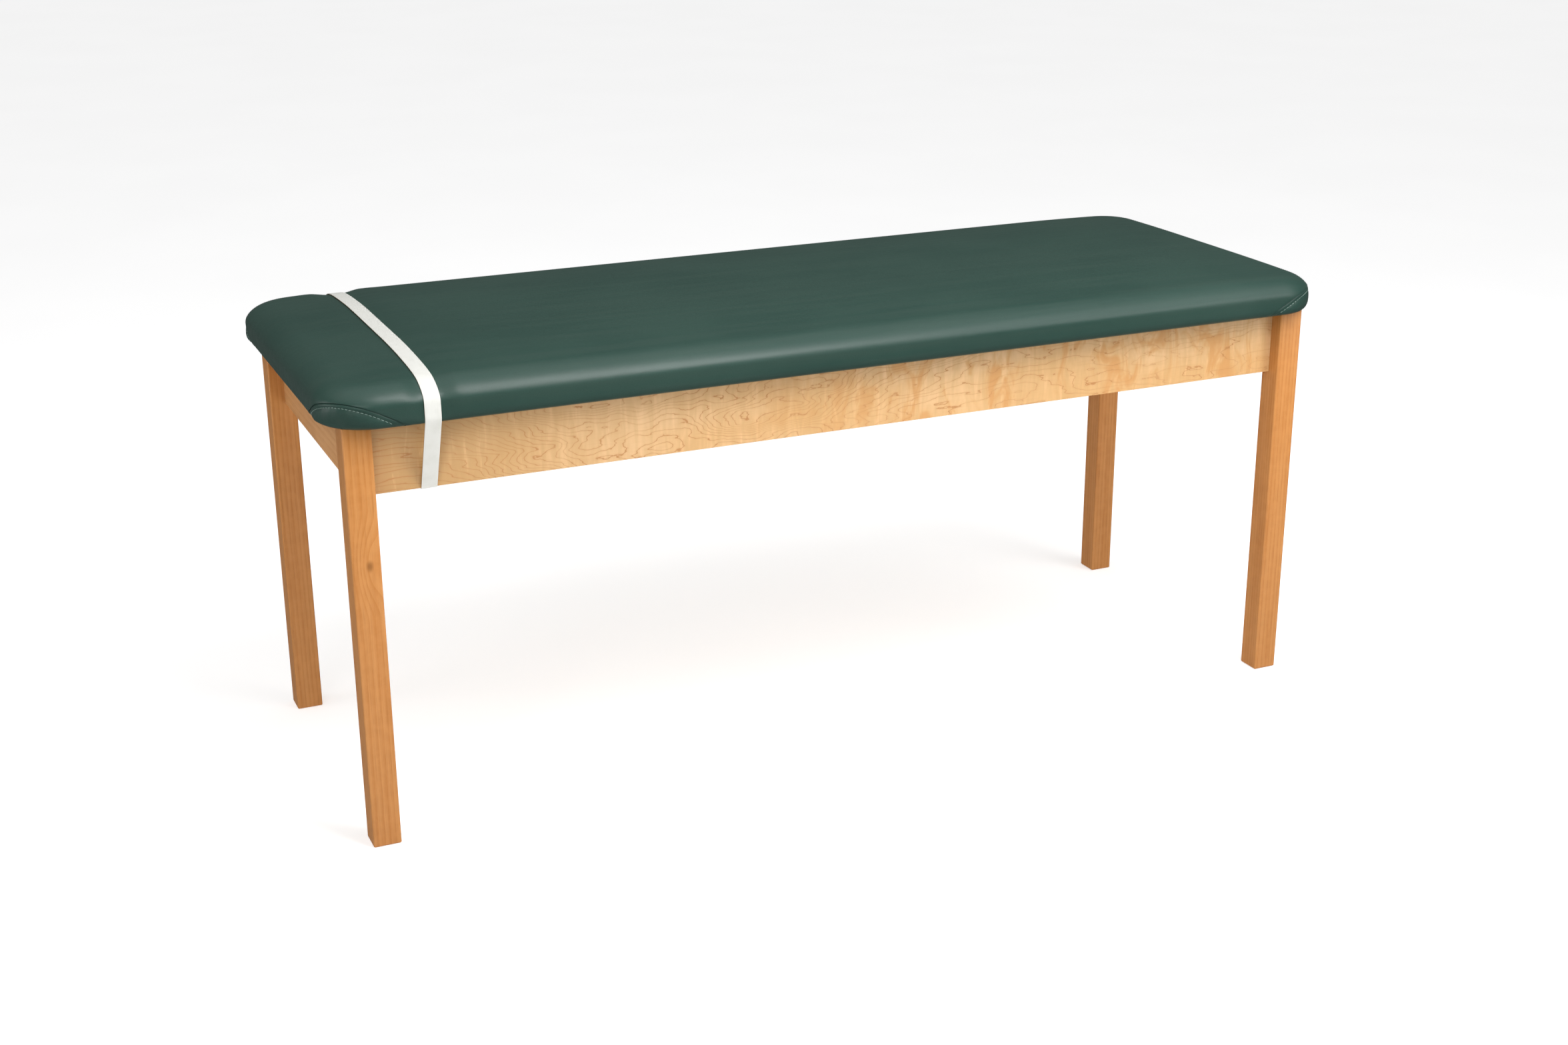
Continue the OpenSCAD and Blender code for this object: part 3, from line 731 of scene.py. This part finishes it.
def corner_point(sx, sy, s, d, z):
    """A point on the pad's outline at s round the corner, d in from the side, at height z."""
    angle, extra = corner_frame(s)
    turn = math.atan2(sy, sx)
    out = np.stack([np.cos(angle + turn), np.sin(angle + turn)], axis=-1)
    along = np.stack([-np.sin(angle + turn), np.cos(angle + turn)], axis=-1)
    centre = np.array([sx * (HALF_L - CORNER_R), sy * (HALF_W - CORNER_R)])
    plan = centre + (CORNER_R - d)[..., None] * out + extra[..., None] * along
    return np.concatenate([plan, z[..., None]], axis=-1)


def side_profile(count=240):
    """The pad's side as (d, z) from the start of the tuck to the top edge."""
    a = np.radians(np.linspace(0, 90, 60))
    tuck = np.column_stack([TUCK_IN * (1 - np.sin(a)), TUCK_UP * (1 - np.cos(a))])
    side = np.column_stack([np.zeros(20), np.linspace(TUCK_UP, SHOULDER, 22)[1:-1]])
    rise_d = EDGE_IN * (1 - np.cos(a))
    rise_z = SHOULDER + EDGE_DOWN * np.sqrt(1 - (1 - rise_d / EDGE_IN) ** 2)
    path = np.vstack([tuck, side, np.column_stack([rise_d, rise_z])])
    length = np.concatenate([[0], np.cumsum(np.linalg.norm(np.diff(path, axis=0), axis=1))])
    marks = np.linspace(0, length[-1], count)
    return np.column_stack([np.interp(marks, length, path[:, k]) for k in (0, 1)])


def panel_points(sx, sy, s_values, rows):
    """Grid on the pad's side from the bottom to just above the seam."""
    profile = side_profile()
    out = []
    for s in s_values:
        d, z = profile[:, 0], PAD_Z + profile[:, 1]
        line = corner_point(sx, sy, np.full(len(d), s), d, z)
        away = seam_distance(line, sx, sy)
        over = np.flatnonzero(away > PANEL_OVERLAP)
        end = over[0] if len(over) else len(d) - 1
        marks = np.linspace(0, max(end, 2), rows)
        places = np.arange(len(d))
        out.append(np.column_stack([np.interp(marks, places, line[:, k]) for k in range(3)]))
    return np.array(out)


def grid_normals(grid):
    du = np.gradient(grid, axis=0)
    dv = np.gradient(grid, axis=1)
    normal = np.cross(du, dv)
    return normal / np.maximum(np.linalg.norm(normal, axis=-1, keepdims=True), 1e-12)


def panel_relief(away, s):
    """Height of the panel over the pad: tucked under the seam, a stitched channel, puffed."""
    below = -away
    tucked = -1.5 * MM * (1 - smooth(below, -0.6 * MM, 2.2 * MM))
    puff = 1.3 * MM * bell(below, 17 * MM, 9 * MM) * smooth(below, 6 * MM, 12 * MM)
    channel = -0.55 * MM * bell(below, STITCH_GAP, 1.1 * MM)
    between = 0.5 + 0.5 * np.cos(TAU * s / STITCH_PITCH)
    pulled = -0.30 * MM * bell(below, STITCH_GAP, 1.6 * MM) * (1 - between)
    pucker = 0.16 * MM * np.cos(TAU * s / (2.6 * STITCH_PITCH)) * bell(below, 11 * MM, 5 * MM)
    return tucked + puff + channel + pulled + pucker


def build_panel(name, sx, sy, material):
    s_values = np.linspace(-PANEL_REACH, PANEL_REACH, 225)
    grid = panel_points(sx, sy, s_values, rows=56)
    normals = grid_normals(grid)
    s = s_values[:, None] * np.ones(grid.shape[:2])
    away = seam_distance(grid, sx, sy)
    fade = smooth(grid[..., 2], PAD_Z, PAD_Z + 6 * MM)
    relief = np.where(away > -5 * MM, panel_relief(away, s), panel_relief(away, s) * fade)
    grid = grid + normals * relief[..., None]
    rows, cols = grid.shape[:2]
    index = np.arange(rows * cols).reshape(rows, cols)
    quads = np.stack([index[:-1, :-1], index[1:, :-1], index[1:, 1:], index[:-1, 1:]], axis=-1)
    panel = make_object(name, grid.reshape(-1, 3), quads.reshape(-1, 4), material)
    wall = panel.modifiers.new("wall", "SOLIDIFY")
    wall.thickness = 1.0 * MM
    wall.offset = -1
    apply_modifiers(panel)
    panel.data.shade_smooth()
    return panel


def tube(path, up, radius, sides=8, twist=0.0):
    """Points and faces of a closed thread along a short path, with two twisted plies."""
    path, up = np.asarray(path), np.asarray(up)
    along = np.gradient(path, axis=0)
    along /= np.linalg.norm(along, axis=1, keepdims=True)
    side = np.cross(along, up)
    side /= np.linalg.norm(side, axis=1, keepdims=True)
    lift = np.cross(side, along)
    angles = np.arange(sides) / sides * TAU
    rings = []
    for k, p in enumerate(path):
        turn = twist * k / (len(path) - 1)
        ply = radius[k] * (0.86 + 0.14 * np.cos(2 * (angles - turn)))
        around = np.cos(angles)[:, None] * side[k] + np.sin(angles)[:, None] * lift[k]
        rings.append(p + ply[:, None] * around)
    points = np.vstack(rings)
    faces = []
    for k in range(len(path) - 1):
        for i in range(sides):
            j = (i + 1) % sides
            faces.append((k * sides + i, k * sides + j, (k + 1) * sides + j, (k + 1) * sides + i))
    faces.append(tuple(range(sides))[::-1])
    faces.append(tuple((len(path) - 1) * sides + i for i in range(sides)))
    return points, faces


def stitch_track(sx, sy, s, below):
    """Point and normal on the panel at s, a set distance below the seam."""
    profile = side_profile()
    s_three = np.array([s - 0.5 * MM, s, s + 0.5 * MM])
    lines = []
    for value in s_three:
        inward, level = profile[:, 0], PAD_Z + profile[:, 1]
        line = corner_point(sx, sy, np.full(len(profile), value), inward, level)
        away = seam_distance(line, sx, sy)
        k = int(np.argmin(np.abs(away + below)))
        lines.append(line[max(k - 1, 0): k + 2] if 0 < k < len(line) - 1 else line[:3])
    grid = np.array(lines)
    return grid[1, 1], grid_normals(grid)[1, 1]


def build_stitches(name, sx, sy, material):
    """A row of single stitches, each a short thread that dips into the vinyl at its ends."""
    points, faces, total = [], [], 0
    marks = np.linspace(-1, 1, 7)
    count = int(90 * MM / STITCH_PITCH)
    for i in range(-count, count + 1):
        middle = (i + 0.5) * STITCH_PITCH
        places = [stitch_track(sx, sy, middle + t * STITCH_L / 2, STITCH_GAP) for t in marks]
        if min(p[2] for p, _ in places) < PAD_Z + 4 * MM:
            continue
        base = np.array([p for p, _ in places])
        up = np.array([n for _, n in places])
        arch = 1 - np.abs(marks) ** 3
        lift = -0.62 * MM + 0.55 * MM * arch
        path = base + up * lift[:, None]
        radius = THREAD_R * (0.45 + 0.55 * arch)
        pts, fcs = tube(path, up, radius, sides=10, twist=TAU)
        points.append(pts)
        faces += [tuple(v + total for v in f) for f in fcs]
        total += len(pts)
    return make_object(name, np.vstack(points), faces, material)


# ---------------------------------------------------------------- strap


def even_path(path, step):
    """The path at even steps, with its small corners eased."""
    length = np.concatenate([[0], np.cumsum(np.linalg.norm(np.diff(path, axis=0), axis=1))])
    marks = np.linspace(0, length[-1], int(length[-1] / step))
    path = np.column_stack([np.interp(marks, length, path[:, k]) for k in (0, 1)])
    for _ in range(4):
        path[1:-1] = (path[:-2] + 2 * path[1:-1] + path[2:]) / 4
    return path


def strap_path():
    """The strap's inner side as (y, z) from inside the front rail to inside the rear one."""
    levels = cover_levels()
    low = [(d, z) for d, z in levels if not callable(z) and d <= TUCK_IN + 1e-9]
    edge = [d for d, z in levels if callable(z)]
    front = [(d - HALF_W, z) for d, z in low]
    front += [(d - HALF_W, PAD_Z + top_height(d, STRAP_X, d - HALF_W)) for d in edge[1:]]
    flat = np.linspace(EDGE_IN - HALF_W, 0, 40)[1:]
    top = [(y, PAD_Z + SHOULDER + EDGE_DOWN + crown(STRAP_X, y)) for y in flat]
    half = np.array(front + top, dtype=float)
    path = np.vstack([half, half[-2::-1] * [-1, 1]])
    tangent = np.gradient(path, axis=0)
    normal = np.column_stack([-tangent[:, 1], tangent[:, 0]])
    normal /= np.linalg.norm(normal, axis=1, keepdims=True)
    depth = dent_depth(np.clip(HALF_W - np.abs(path[:, 0]), 0, None))
    depth *= clear_of_tuck(path[:, 1])
    path = path - normal * (depth - STRAP_GAP)[:, None]

    # from the lower edge of the rail straight to where the line touches the pad
    foot = np.array([rail_low[1] - STRAP_GAP, rail_low[2] - STRAP_GAP])
    lean = np.arctan2(foot[0] - path[:, 0], path[:, 1] - foot[1])
    first = int(np.argmax(lean[: len(path) // 3]))
    body = path[first: len(path) - first]
    inner_y, bend = rail_high[1] + STRAP_GAP, STRAP_BEND
    turn = np.radians(np.linspace(0, 90, 5))
    tail = [(inner_y, rail_low[2] + z) for z in np.linspace(STRAP_TAIL, bend, 16)]
    tail += [(inner_y - bend * (1 - math.cos(a)), foot[1] + bend * (1 - math.sin(a))) for a in turn]
    tail += [(y, foot[1]) for y in np.linspace(inner_y - bend, foot[0] + bend, 8)[1:-1]]
    tail += [(foot[0] + bend * (1 - math.sin(a)), foot[1] + bend * (1 - math.cos(a))) for a in turn]
    start = np.array(tail[-1])
    rise = np.array([start + (body[0] - start) * t for t in np.linspace(0, 1, 40)[1:-1]])
    free = np.vstack([rise, body, rise[::-1] * [-1, 1]])
    tail = np.array(tail)
    return np.vstack([tail, even_path(free, 2 * MM), tail[::-1] * [-1, 1]])


def build_strap(material):
    path = strap_path()
    keep = np.concatenate([[True], np.linalg.norm(np.diff(path, axis=0), axis=1) > 0.05 * MM])
    path = path[keep]
    tangent = np.gradient(path, axis=0)
    tangent /= np.linalg.norm(tangent, axis=1, keepdims=True)
    out = np.column_stack([-tangent[:, 1], tangent[:, 0]])
    half, t, r = STRAP_W / 2, STRAP_T, STRAP_EDGE
    corner = np.radians(np.linspace(0, 90, 4))
    section = []
    for sign_x, sign_t in ((1, 1), (-1, 1), (-1, -1), (1, -1)):
        arc = corner if sign_x * sign_t > 0 else corner[::-1]
        for a in arc:
            across, through = half - r + r * math.cos(a), t / 2 - r + r * math.sin(a)
            section.append((sign_x * across, t / 2 + sign_t * through))
        if sign_x == sign_t:
            for x in np.linspace(half - r, r - half, 7)[1:-1]:
                section.append((sign_x * x, section[-1][1]))
    section = np.array(section)
    rings = []
    for p, o in zip(path, out):
        ring = np.empty((len(section), 3))
        ring[:, 0] = STRAP_X + section[:, 0]
        ring[:, 1] = p[0] + o[0] * section[:, 1]
        ring[:, 2] = p[1] + o[1] * section[:, 1]
        rings.append(ring)
    count = len(section)
    faces = []
    for k in range(len(rings) - 1):
        for i in range(count):
            j = (i + 1) % count
            faces.append((k * count + i, k * count + j, (k + 1) * count + j, (k + 1) * count + i))
    faces.append(tuple(range(count))[::-1])
    faces.append(tuple((len(rings) - 1) * count + i for i in range(count)))
    return make_object("paper_strap_band", np.vstack(rings), faces, material)


# ---------------------------------------------------------------- foam


def build_foam(outline, material):
    """The foam slab on the deck, a little inside the cover."""
    skin, side = 7 * MM, 8 * MM
    bottom = deck_top + 0.3 * MM
    rings = [(side + 6 * MM, bottom), (side + 1 * MM, bottom + 1 * MM)]
    rings.append((side, PAD_Z + SHOULDER - 2 * MM))
    for a in np.radians(np.linspace(20, 90, 6)):
        d = side + (EDGE_IN - side) * (1 - math.cos(a))
        rings.append((d, lambda plan, d=d: PAD_Z + top_height(d, plan[:, 0], plan[:, 1]) - skin))
    points, faces = pad_shell(
        outline, rings, lambda x, y: PAD_Z + SHOULDER + EDGE_DOWN + crown(x, y) - skin,
        close_bottom=True)
    return make_object("foam_slab", points, faces, material)


# ---------------------------------------------------------------- wood and hardware


def soften(node, width, segments=2):
    """Rounds a CAD node's sharp edges; its glTF mesh is welded first."""
    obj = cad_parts[node]
    weld = obj.modifiers.new("weld", "WELD")
    weld.merge_threshold = 0.01 * MM
    bevel = obj.modifiers.new("edges", "BEVEL")
    bevel.width = width
    bevel.segments = segments
    bevel.limit_method = "ANGLE"
    bevel.angle_limit = math.radians(40)
    bevel.harden_normals = True
    obj.data.shade_smooth()


def dress(node, material):
    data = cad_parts[node].data
    data.materials.clear()
    data.materials.append(material)


def dress_wood():
    honey = (0.535, 0.236, 0.069), (0.430, 0.156, 0.031)
    for seed, corner in enumerate(CORNERS):
        node = "leg_" + corner
        low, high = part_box(node)
        pith = (low[0] - 0.035 - 0.01 * seed, high[1] + 0.03)
        knot = (low[0] + 0.028, low[1], 0.484) if corner == "front_head" else None
        material = wood_material(
            "leg_wood_" + corner, *honey,
            axis=2, pith=pith, ring=5.5 * MM, seed=seed + 1, knot=knot)
        dress(node, material)
        soften(node, 0.8 * MM)
    cream = (0.76, 0.497, 0.260), (0.66, 0.382, 0.148), (0.50, 0.225, 0.074)
    for seed, node in ((0.0, "front_rail"), (3.7, "rear_rail")):
        dress(node, veneer_material("veneer_" + node, *cream, seed=seed))
        soften(node, 0.8 * MM)
    tan = (0.56, 0.29, 0.115), (0.46, 0.205, 0.065)
    for seed, node in ((5, "head_rail"), (6, "foot_rail")):
        low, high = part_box(node)
        pith = (low[0] - 0.2, low[2] - 0.12)
        dress(node, wood_material("wood_" + node, *tan, axis=1, pith=pith, ring=9 * MM, seed=seed))
        soften(node, 0.8 * MM)
    raw = (0.60, 0.42, 0.24), (0.50, 0.32, 0.16)
    for seed, end in enumerate(("head", "middle", "foot")):
        node = "cross_rail_" + end
        low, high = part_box(node)
        pith = (low[0] - 0.05, low[2] - 0.09)
        material = wood_material(
            "raw_" + node, *raw, axis=1, pith=pith, ring=6 * MM, seed=seed + 9, gloss=0.55)
        dress(node, material)
        soften(node, 0.6 * MM)
    dress("deck_board", plywood_material())


def dress_steel():
    zinc = steel_material("zinc_plate", (0.60, 0.60, 0.58))
    bright = steel_material("zinc_screws", (0.66, 0.64, 0.58), scale=160)
    for corner in CORNERS:
        dress("corner_bracket_" + corner, zinc)
        soften("corner_bracket_" + corner, 0.4 * MM)
    for node in ("deck_clips", "cross_rail_angles", "bolt_washers", "strap_washers"):
        dress(node, zinc)
        soften(node, 0.3 * MM)
    for node in ("bracket_screws", "deck_clip_screws", "cross_rail_screws", "strap_screws",
                 "hanger_bolts", "bolt_nuts"):
        dress(node, bright)
        soften(node, 0.5 * MM, 3)
    dress("cover_staples", bright)
    soften("cover_staples", 0.2 * MM)


# ---------------------------------------------------------------- camera, light and floor


def add_camera():
    """The viewing angle: a little left of the middle, looking down by about 20 degrees."""
    place = Vector((-1.5044, -3.3598, 1.6386))
    yaw, pitch, roll = (math.radians(a) for a in (23.926, 19.636, 0.326))
    level = math.cos(pitch)
    ahead = Vector((math.sin(yaw) * level, math.cos(yaw) * level, -math.sin(pitch)))
    right = Vector((math.cos(yaw), -math.sin(yaw), 0))
    down = ahead.cross(right)
    right, down = (math.cos(roll) * right + math.sin(roll) * down,
                   math.cos(roll) * down - math.sin(roll) * right)
    data = bpy.data.cameras.new("camera")
    data.lens = 48.29
    data.sensor_width = 36
    data.clip_end = 100
    camera = bpy.data.objects.new("camera", data)
    bpy.context.collection.objects.link(camera)
    turned = Matrix((right, -down, -ahead)).transposed().to_4x4()
    camera.matrix_world = Matrix.Translation(place) @ turned
    bpy.context.scene.camera = camera


def add_area(name, place, target, size, power, tint=(1, 1, 1)):
    data = bpy.data.lights.new(name, "AREA")
    data.shape = "RECTANGLE"
    data.size, data.size_y = size
    data.energy = power
    data.color = tint
    light = bpy.data.objects.new(name, data)
    bpy.context.collection.objects.link(light)
    light.location = place
    aim = Vector(target) - Vector(place)
    light.rotation_euler = aim.to_track_quat("-Z", "Y").to_euler()


def studio_world():
    """A bright ceiling over a dimmer horizon."""
    world = bpy.data.worlds.new("studio")
    world.use_nodes = True
    tree = world.node_tree
    background = tree.nodes["Background"]
    place = tree.nodes.new("ShaderNodeTexCoord")
    split = tree.nodes.new("ShaderNodeSeparateXYZ")
    ceiling = tree.nodes.new("ShaderNodeMapRange")
    ceiling.interpolation_type = "SMOOTHSTEP"
    tree.links.new(place.outputs["Generated"], split.inputs[0])
    tree.links.new(split.outputs["Z"], ceiling.inputs["Value"])
    horizon, zenith = 0.11, 1.15
    ceiling.inputs["From Min"].default_value = math.sin(math.radians(38))
    ceiling.inputs["From Max"].default_value = math.sin(math.radians(70))
    ceiling.inputs["To Min"].default_value = horizon
    ceiling.inputs["To Max"].default_value = zenith
    tree.links.new(ceiling.outputs["Result"], background.inputs["Strength"])
    background.inputs["Color"].default_value = (1.0, 1.0, 1.0, 1)
    bpy.context.scene.world = world


def add_studio():
    middle = (0, 0, 0.6)
    add_area("key_left", (-2.6, -3.2, 2.4), middle, (1.8, 1.5), 31)
    add_area("key_right", (2.8, -3.3, 2.2), middle, (2.0, 1.6), 42)
    add_area("roll_left", (0.25, -1.6, 2.9), (-0.5, -0.33, 0.74), (0.9, 2.3), 74)
    add_area("roll_right", (2.0, -1.5, 2.8), (0.55, -0.33, 0.74), (1.9, 2.0), 24)
    add_area("head_side", (-3.6, 0.4, 1.2), middle, (1.6, 1.6), 20)
    studio_world()
    bpy.context.scene.view_settings.view_transform = "Standard"


def add_floor():
    """A flat floor, and far off a sweep up from its rim, so a low view ends in no edge."""
    radius, sweep, wall, sides = 30.0, 10.0, 30.0, 96
    angles = np.arange(sides) / sides * TAU
    around = np.column_stack([np.cos(angles), np.sin(angles)])
    material = floor_material()
    rim = np.column_stack([radius * around, np.zeros(sides)])
    floor = make_object("floor", rim, [tuple(range(sides))], material)
    bend = np.radians(np.linspace(0, 90, 25))
    profile = [(radius + sweep * math.sin(a), sweep * (1 - math.cos(a))) for a in bend]
    profile.append((radius + sweep, wall))
    points = np.vstack([np.column_stack([r * around, np.full(sides, z)]) for r, z in profile])
    faces = [(k + i, k + (i + 1) % sides, k + sides + (i + 1) % sides, k + sides + i)
             for k in range(0, sides * (len(profile) - 1), sides) for i in range(sides)]
    backdrop = make_object("backdrop", points, faces, material)
    backdrop.data.shade_smooth()
    backdrop.visible_diffuse = False
    backdrop.visible_shadow = False
    for stage in (floor, backdrop):
        stage.visible_glossy = False


# ---------------------------------------------------------------- the couch


add_camera()
add_studio()
add_floor()

outline = Outline()
vinyl = vinyl_material()
thread = thread_material()

cover = build_cover(outline, vinyl)
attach(cover, "root")
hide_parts("vinyl_cover")

foam = build_foam(outline, foam_material())
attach(foam, "root")
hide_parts("foam_pad")

for corner, (sx, sy) in CORNERS.items():
    panel = build_panel("corner_panel_skin_" + corner, sx, sy, vinyl)
    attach(panel, "root")
    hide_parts("corner_panel_" + corner)
    stitches = build_stitches("topstitch_" + corner, sx, sy, thread)
    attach(stitches, "root")
    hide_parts("corner_topstitching")

strap = build_strap(strap_material())
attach(strap, "root")
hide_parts("paper_strap")

dress_wood()
dress_steel()
